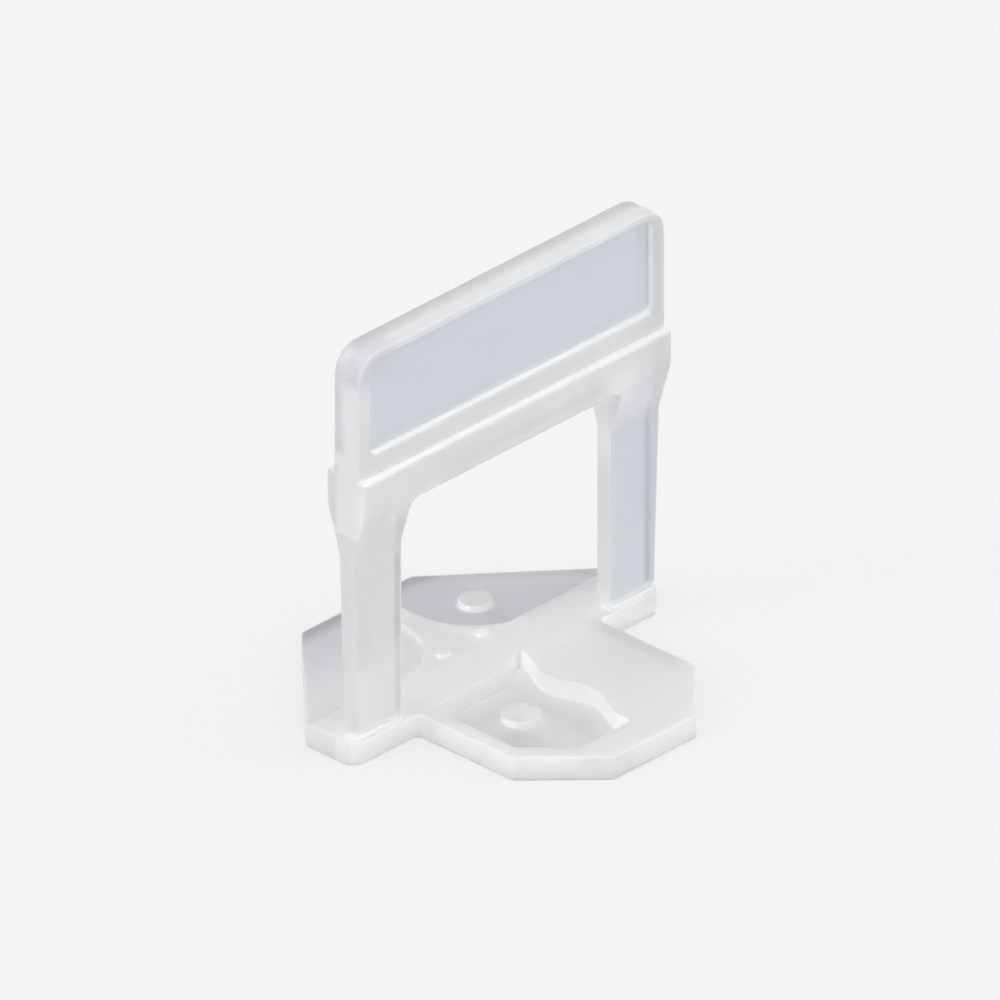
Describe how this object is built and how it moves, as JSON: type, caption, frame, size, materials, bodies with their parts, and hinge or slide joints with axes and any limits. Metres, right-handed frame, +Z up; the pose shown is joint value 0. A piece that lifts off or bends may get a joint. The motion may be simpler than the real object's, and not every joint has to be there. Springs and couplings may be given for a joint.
{
  "type": "tile levelling clip",
  "caption": "Moulded plastic clip for levelling tiles: a flat foot under the tiles, thin legs that stand in the joint and a bridge that a wedge is pushed under.",
  "frame": {"origin": "on the underside of the foot, midway between the legs and in the middle of the tile joint", "axes": "+X along the joint, -Y towards the narrow front of the foot, +Z up, away from the foot and towards the bridge"},
  "size_m": [0.0324, 0.0301, 0.0342],
  "materials": {
    "natural_plastic": "satin, milky and slightly see-through, without pigment"
  },
  "bodies": {
    "root": {"levelling_clip": "natural_plastic"}
  },
  "joints": []
}
